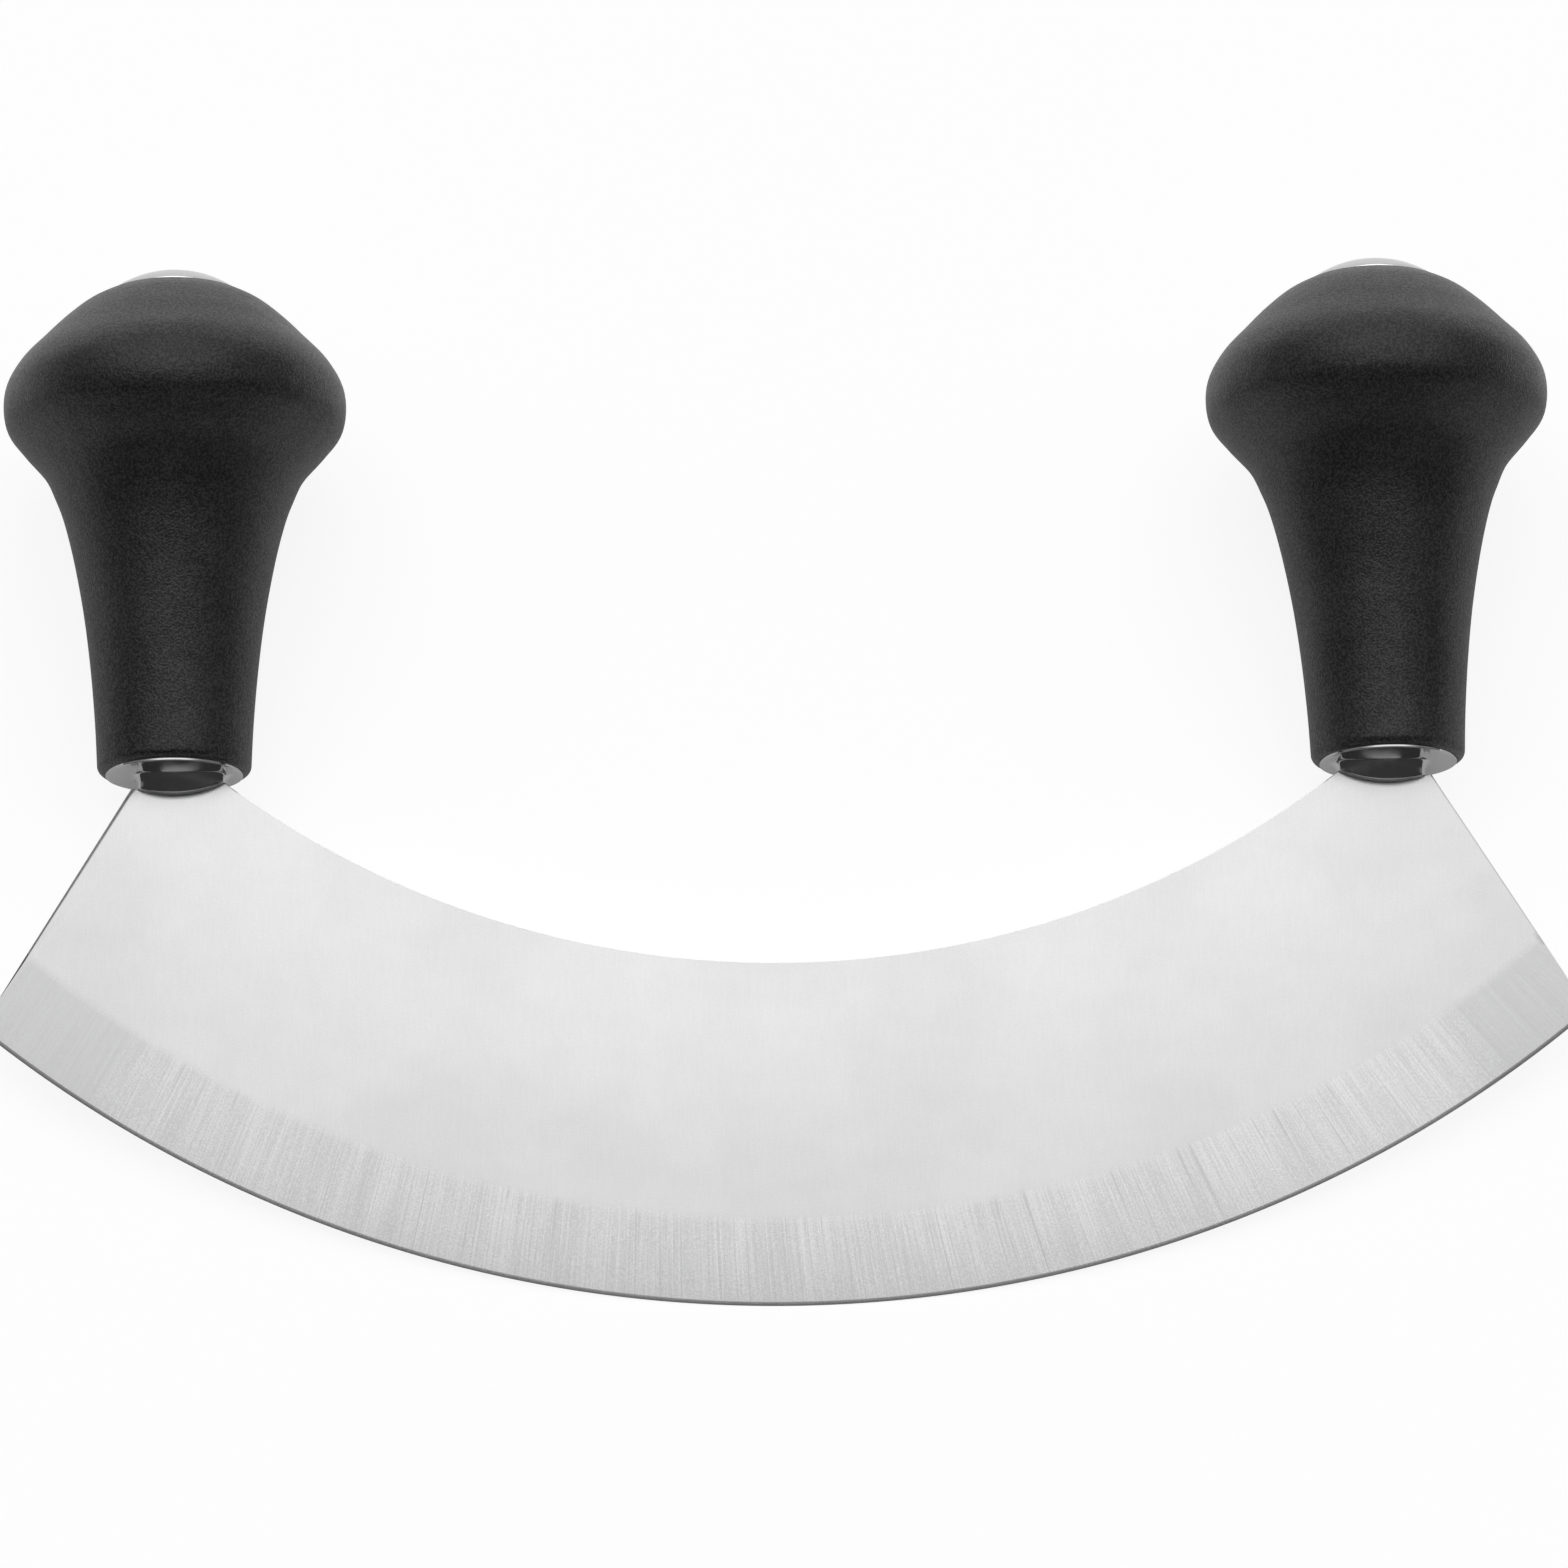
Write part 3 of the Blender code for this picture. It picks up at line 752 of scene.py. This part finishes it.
def effect_group(name, inputs, outputs):
    """A shader node group from a vector and named numbers to named numbers, with the sockets at its ends."""
    group = bpy.data.node_groups.new(name, "ShaderNodeTree")
    group.interface.new_socket(name="Vector", in_out="INPUT", socket_type="NodeSocketVector")
    for label in inputs:
        group.interface.new_socket(name=label, in_out="INPUT", socket_type="NodeSocketFloat")
    for label in outputs:
        group.interface.new_socket(name=label, in_out="OUTPUT", socket_type="NodeSocketFloat")
    return group, group.nodes.new("NodeGroupInput").outputs, group.nodes.new("NodeGroupOutput").inputs


def place_group(tree, group, **values):
    made = tree.nodes.new("ShaderNodeGroup")
    made.node_tree = group
    for key, value in values.items():
        feed(tree, made.inputs[key.replace("_", " ")], value)
    return made.outputs


def make_line_effect():
    """Fine parallel polishing or grinding lines: X counts across the lines and Y along them, in metres."""
    inputs = ("Line Width", "Line Length", "Band Width")
    group, inlet, outlet = effect_group("abrasive lines", inputs, ("Lines", "Bands", "Scratches"))
    per_length = maths(group, "DIVIDE", 1.0, inlet["Line Length"])
    scratch_width = maths(group, "MULTIPLY", inlet["Line Width"], SCRATCH_WIDTH_SHARE)
    for label, width, kind, limits in (
        ("Lines", inlet["Line Width"], LINE_NOISE, NOISE_LIMITS),
        ("Bands", inlet["Band Width"], BAND_NOISE, NOISE_LIMITS),
        ("Scratches", scratch_width, SCRATCH_NOISE, SCRATCH_LIMITS),
    ):
        per_width = maths(group, "DIVIDE", 1.0, width)
        scale = add(group, "ShaderNodeCombineXYZ", X=per_width, Y=per_length, Z=per_length).outputs[0]
        stretched = add(group, "ShaderNodeVectorMath", operation="MULTIPLY")
        feed(group, stretched.inputs[0], inlet["Vector"])
        feed(group, stretched.inputs[1], scale)
        marks = noise(group, stretched.outputs[0], 1.0, *kind)
        feed(group, outlet[label], ramp(group, marks, *limits))
    return group


def make_haze_effect():
    """Soft uneven haze, as from wiping and handling."""
    group, inlet, outlet = effect_group("wiped haze", ("Patch Size",), ("Haze",))
    per_patch = maths(group, "DIVIDE", 1.0, inlet["Patch Size"])
    haze = noise(group, inlet["Vector"], per_patch, *HAZE_NOISE)
    feed(group, outlet["Haze"], ramp(group, haze, *NOISE_LIMITS))
    return group


def make_grain_effect():
    """Fine moulded or blasted grain: a height and a mask of its pits."""
    group, inlet, outlet = effect_group("fine grain", ("Grain Size",), ("Height", "Pits"))
    per_grain = maths(group, "DIVIDE", 1.0, inlet["Grain Size"])
    height = noise(group, inlet["Vector"], per_grain, *GRAIN_NOISE)
    feed(group, outlet["Height"], height)
    feed(group, outlet["Pits"], ramp(group, height, *PIT_LIMITS))
    return group


def upright_point(tree):
    """A surface point in the upright tool's axes."""
    coordinates = tree.nodes.new("ShaderNodeTexCoord").outputs["Object"]
    mapping = add(tree, "ShaderNodeMapping", vector_type="TEXTURE", Vector=coordinates)
    mapping.inputs["Location"].default_value = LAID_DOWN.to_translation()
    mapping.inputs["Rotation"].default_value = LAID_DOWN.to_euler()
    return mapping.outputs[0]


def mix_colours(tree, share, first, second):
    """A colour between two, by a share that changes over the surface."""
    made = tree.nodes.new("ShaderNodeMix")
    made.data_type = "RGBA"
    for key, value in (("Factor", share), ("A", first), ("B", second)):
        feed(tree, made.inputs[key], (*value, 1) if isinstance(value, tuple) else value)
    return made.outputs["Result"]


def mix_numbers(tree, share, first, second):
    """A number between two, by a share that changes over the surface."""
    made = tree.nodes.new("ShaderNodeMix")
    for key, value in (("Factor", share), ("A", first), ("B", second)):
        feed(tree, made.inputs[key], value)
    return made.outputs["Result"]


def weighed(tree, values, weights):
    """Sum of values, each multiplied by its weight."""
    total = 0.0
    for value, weight in zip(values, weights):
        total = maths(tree, "ADD", total, maths(tree, "MULTIPLY", value, weight))
    return total


def relief(tree, shader, height, settings):
    """Feeds the shader's normal with a bump of this height, over what bump it has."""
    bump = add(tree, "ShaderNodeBump", Height=height, **settings)
    for link in shader.inputs["Normal"].links:
        feed(tree, bump.inputs["Normal"], link.from_socket)
    feed(tree, shader.inputs["Normal"], bump.outputs["Normal"])


def blade_finish(lines_effect, haze_effect, grain_effect):
    """Satin cheeks, a ground zone with lines nearly square to the edge, and a coarser honed bevel."""
    finish, tree, shader = shader_tree("satin blade steel")
    point = upright_point(tree)
    parts = add(tree, "ShaderNodeSeparateXYZ", Vector=point).outputs
    squares = [maths(tree, "POWER", parts[axis], 2.0) for axis in ("X", "Z")]
    radius = maths(tree, "SQRT", maths(tree, "ADD", *squares))
    angle = maths(tree, "ARCTAN2", parts["X"], maths(tree, "MULTIPLY", parts["Z"], -1.0))
    inset = maths(tree, "SUBTRACT", EDGE_RADIUS, radius)
    across = weighed(tree, (angle, inset), (EDGE_RADIUS, tan(GRIND_LEAN)))
    radial = add(tree, "ShaderNodeCombineXYZ", X=across, Y=radius, Z=parts["Y"]).outputs[0]

    ground = place_group(tree, lines_effect, Vector=radial, **GROUND_LINES)
    fine = place_group(tree, lines_effect, Vector=radial, **FINE_GROUND_LINES)
    satin = place_group(tree, lines_effect, Vector=point, **SATIN_LINES)
    haze = place_group(tree, haze_effect, Vector=point, Patch_Size=BLADE_PATCH)["Haze"]
    speckle = place_group(tree, grain_effect, Vector=point, Grain_Size=BLADE_GRAIN)["Pits"]

    grind_line = EDGE_RADIUS - GRIND_WIDTH
    wander = maths(tree, "MULTIPLY", maths(tree, "SUBTRACT", ground["Lines"], 0.5), GRIND_WANDER)
    reach = maths(tree, "ADD", radius, wander)
    in_ground = ramp(tree, reach, grind_line - GRIND_BLEND, grind_line + GRIND_BLEND)
    on_bevel = ramp(tree, inset, *(EDGE_BEVEL_WIDTH * share for share in BEVEL_LIMITS))

    to_spine = ramp(tree, radius, grind_line, SPINE_RADIUS)
    satin_marks = (satin["Lines"], satin["Bands"], haze, speckle, to_spine)
    satin_colour = mix_colours(tree, weighed(tree, satin_marks, SATIN_WEIGHTS), *SATIN_COLOURS)
    streaks = (ground["Lines"], fine["Lines"], ground["Scratches"], fine["Bands"], ground["Bands"], speckle)
    ground_tone = weighed(tree, streaks, STREAK_WEIGHTS)
    towards_ends = ramp(tree, maths(tree, "ABSOLUTE", angle), *DARKER_GROUND_ENDS)
    # Painted light: the ground zone's colour is made lighter towards the blade's right end. It is also made
    # darker towards both ends
    ground_tone_and_painted_light = weighed(tree, (ground_tone, angle, towards_ends), GROUND_TONE_AND_PAINTED_LIGHT_WEIGHTS)
    ground_colour = mix_colours(tree, ground_tone_and_painted_light, *GROUND_COLOURS)
    feed(tree, shader.inputs["Base Color"], mix_colours(tree, in_ground, satin_colour, ground_colour))

    satin_rough = ramp(tree, haze, 0.0, 1.0, *SATIN_ROUGHNESS)
    ground_rough = ramp(tree, ground_tone, *GROUND_LIMITS, *GROUND_ROUGHNESS)
    cheek_rough = mix_numbers(tree, in_ground, satin_rough, ground_rough)
    feed(tree, shader.inputs["Roughness"], mix_numbers(tree, on_bevel, cheek_rough, BEVEL_ROUGHNESS))

    satin_height = maths(tree, "MULTIPLY", satin["Lines"], SATIN_RELIEF_SHARE)
    relief(tree, shader, mix_numbers(tree, in_ground, satin_height, ground_tone), BLADE_RELIEF)
    shader.inputs["Metallic"].default_value = 1.0
    return finish


def polished_finish(lines_effect, haze_effect):
    """Buffed steel: near mirror, with the faintest buffing lines and haze."""
    finish, tree, shader = shader_tree("polished steel")
    point = upright_point(tree)
    lines = place_group(tree, lines_effect, Vector=point, **BUFFING_LINES)["Lines"]
    haze = place_group(tree, haze_effect, Vector=point, Patch_Size=BUFFING_PATCH)["Haze"]
    tone = weighed(tree, (lines, haze), BUFFING_WEIGHTS)
    feed(tree, shader.inputs["Base Color"], mix_colours(tree, tone, *POLISHED_COLOURS))
    feed(tree, shader.inputs["Roughness"], ramp(tree, haze, 0.0, 1.0, *POLISHED_ROUGHNESS))
    relief(tree, shader, lines, POLISHED_RELIEF)
    shader.inputs["Metallic"].default_value = 1.0
    return finish


def plastic_finish(grain_effect, haze_effect):
    """Black plastic with a fine moulded grain, faint hollows and a soft, uneven sheen."""
    finish, tree, shader = shader_tree("grained black plastic")
    point = upright_point(tree)
    grain = place_group(tree, grain_effect, Vector=point, Grain_Size=PLASTIC_GRAIN)
    haze = place_group(tree, haze_effect, Vector=point, Patch_Size=PLASTIC_PATCH)["Haze"]
    tone = weighed(tree, (grain["Pits"], haze), PLASTIC_WEIGHTS)
    feed(tree, shader.inputs["Base Color"], mix_colours(tree, tone, *PLASTIC_COLOURS))
    feed(tree, shader.inputs["Roughness"], ramp(tree, tone, 0.0, 1.0, *PLASTIC_ROUGHNESS))
    relief(tree, shader, haze, PLASTIC_HOLLOWS)
    relief(tree, shader, grain["Height"], PLASTIC_RELIEF)
    shader.inputs["Specular IOR Level"].default_value = PLASTIC_GLOSS
    return finish


def plain_finish(lines_effect, haze_effect):
    """Drawn steel of the hidden rod, washer and nut."""
    finish, tree, shader = shader_tree("plain drawn steel")
    point = upright_point(tree)
    lines = place_group(tree, lines_effect, Vector=point, **DRAWN_LINES)["Lines"]
    haze = place_group(tree, haze_effect, Vector=point, Patch_Size=DRAWN_PATCH)["Haze"]
    tone = weighed(tree, (lines, haze), DRAWN_WEIGHTS)
    feed(tree, shader.inputs["Base Color"], mix_colours(tree, tone, *DRAWN_COLOURS))
    feed(tree, shader.inputs["Roughness"], ramp(tree, tone, 0.0, 1.0, *DRAWN_ROUGHNESS))
    relief(tree, shader, lines, DRAWN_RELIEF)
    shader.inputs["Metallic"].default_value = 1.0
    return finish


# Studio
def make_floor():
    """White table. To the camera it glows, so that it is white but for a faint soft shadow."""
    deselect()
    bpy.ops.mesh.primitive_plane_add(size=FLOOR_SIZE)
    floor = bpy.context.object
    floor.name = "white_table"
    finish, tree, shader = shader_tree("white table")
    rays = tree.nodes.new("ShaderNodeLightPath").outputs
    seen = maths(tree, "MAXIMUM", rays["Is Camera Ray"], rays["Is Transmission Ray"])
    feed(tree, shader.inputs["Base Color"], mix_colours(tree, seen, FLOOR_LIT, FLOOR_SEEN))
    seen_glow = maths(tree, "MULTIPLY", seen, FLOOR_GLOW_SEEN - FLOOR_GLOW_LIT)
    coordinates = tree.nodes.new("ShaderNodeTexCoord").outputs["Object"]
    place = add(tree, "ShaderNodeSeparateXYZ", Vector=coordinates).outputs
    # Painted shade: in reflections the floor is dimmer in front of the knobs' heads, where the tool lies
    mirrored = ramp(tree, place["Y"], *HEADS_PLACE, *FLOOR_GLOW_MIRRORED)
    added = maths(tree, "SUBTRACT", mirrored, FLOOR_GLOW_LIT)
    mirrored_glow = maths(tree, "MULTIPLY", rays["Is Glossy Ray"], added)
    glow = maths(tree, "ADD", maths(tree, "ADD", seen_glow, mirrored_glow), FLOOR_GLOW_LIT)
    feed(tree, shader.inputs["Emission Strength"], glow)
    shader.inputs["Roughness"].default_value = FLOOR_ROUGHNESS
    shader.inputs["Specular IOR Level"].default_value = 0.0
    shader.inputs["Emission Color"].default_value = (1, 1, 1, 1)
    floor.data.materials.append(finish)


def spot(tree, offsets, half_sizes, edge):
    """A soft-edged oval of light, from the offsets from its middle and its half sizes."""
    shares = [maths(tree, "DIVIDE", offset, half) for offset, half in zip(offsets, half_sizes)]
    squares = [maths(tree, "MULTIPLY", share, share) for share in shares]
    reach = maths(tree, "SQRT", maths(tree, "ADD", *squares))
    return ramp(tree, reach, *edge)


def make_world():
    """A white tent with dimmer side walls, dark on the camera's side but for one soft lamp."""
    world = bpy.data.worlds.new("soft studio")
    bpy.context.scene.world = world
    world.use_nodes = True
    tree = world.node_tree
    tree.nodes.clear()
    direction = tree.nodes.new("ShaderNodeTexCoord").outputs["Generated"]
    parts = add(tree, "ShaderNodeSeparateXYZ", Vector=direction).outputs
    level_y = maths(tree, "MULTIPLY", parts["Y"], cos(TENT_OPENING))
    behind = maths(tree, "ADD", level_y, maths(tree, "MULTIPLY", parts["Z"], sin(TENT_OPENING)))
    tent = ramp(tree, behind, *TENT_EDGE)
    sideways = maths(tree, "ABSOLUTE", parts["X"])
    walls = ramp(tree, sideways, *TENT_WALLS)
    strips = []
    for heights, sides in ((BACK_WALL, BACK_WALL_SIDES), (HORIZON, HORIZON_SIDES)):
        strips.append(maths(tree, "MULTIPLY", ramp(tree, parts["Z"], *heights), ramp(tree, sideways, *sides)))
    back = maths(tree, "ADD", *strips)
    tone = mix_numbers(tree, ramp(tree, parts["Y"], *BACK_WALL_START), walls, back)
    lit = maths(tree, "MULTIPLY", maths(tree, "MULTIPLY", tent, tone), TENT_LEVEL)
    lean = maths(tree, "ARCTAN2", maths(tree, "MULTIPLY", parts["Y"], -1.0), parts["Z"])
    offsets = (maths(tree, "SUBTRACT", lean, LAMP_LEAN), parts["X"])
    lamp = maths(tree, "MULTIPLY", spot(tree, offsets, LAMP_HALF_SIZES, LAMP_EDGE), LAMP_LEVEL)
    level = maths(tree, "ADD", maths(tree, "ADD", lit, lamp), DARK_LEVEL)
    rays = tree.nodes.new("ShaderNodeLightPath").outputs
    strength = mix_numbers(tree, rays["Is Camera Ray"], level, BACKDROP_LEVEL)
    background = add(tree, "ShaderNodeBackground", Color=(1, 1, 1, 1), Strength=strength)
    output = tree.nodes.new("ShaderNodeOutputWorld")
    tree.links.new(background.outputs[0], output.inputs["Surface"])


def make_camera():
    """The photograph's camera, placed about the upright tool and laid down with it."""
    turn, rise = CAMERA_TURN, CAMERA_ELEVATION
    back = Vector((sin(turn) * cos(rise), -cos(turn) * cos(rise), sin(rise)))
    right = Vector((cos(turn), sin(turn), 0))
    up = back.cross(right)
    rolled_right = right * cos(CAMERA_ROLL) - up * sin(CAMERA_ROLL)
    rolled_up = right * sin(CAMERA_ROLL) + up * cos(CAMERA_ROLL)
    stand = Matrix((rolled_right, rolled_up, back)).transposed().to_4x4()
    stand.translation = CAMERA_TARGET + back * CAMERA_DISTANCE
    settings = bpy.data.cameras.new("photograph")
    settings.lens = CAMERA_LENS
    settings.sensor_width = CAMERA_SENSOR
    settings.clip_start = CAMERA_CLIP_START
    settings.clip_end = CAMERA_CLIP_END
    camera = bpy.data.objects.new("photograph", settings)
    bpy.context.scene.collection.objects.link(camera)
    camera.matrix_world = LAID_DOWN @ stand
    bpy.context.scene.camera = camera


def main():
    bpy.context.scene.view_settings.view_transform = "Standard"
    make_camera()
    make_world()
    make_floor()
    lines_effect = make_line_effect()
    haze_effect = make_haze_effect()
    grain_effect = make_grain_effect()
    polished = polished_finish(lines_effect, haze_effect)
    plastic = plastic_finish(grain_effect, haze_effect)
    plain = plain_finish(lines_effect, haze_effect)
    model_blade(blade_finish(lines_effect, haze_effect, grain_effect))
    for side, sign in SIDES.items():
        model_bolster(side, sign, polished)
        model_knob(side, sign, plastic)
        model_cap(side, sign, polished)
        for hidden in ("tang_rod", "washer", "nut"):
            node = frame["nodes"][f"{hidden}_{side}"]
            node.data.materials.clear()
            node.data.materials.append(plain)


main()
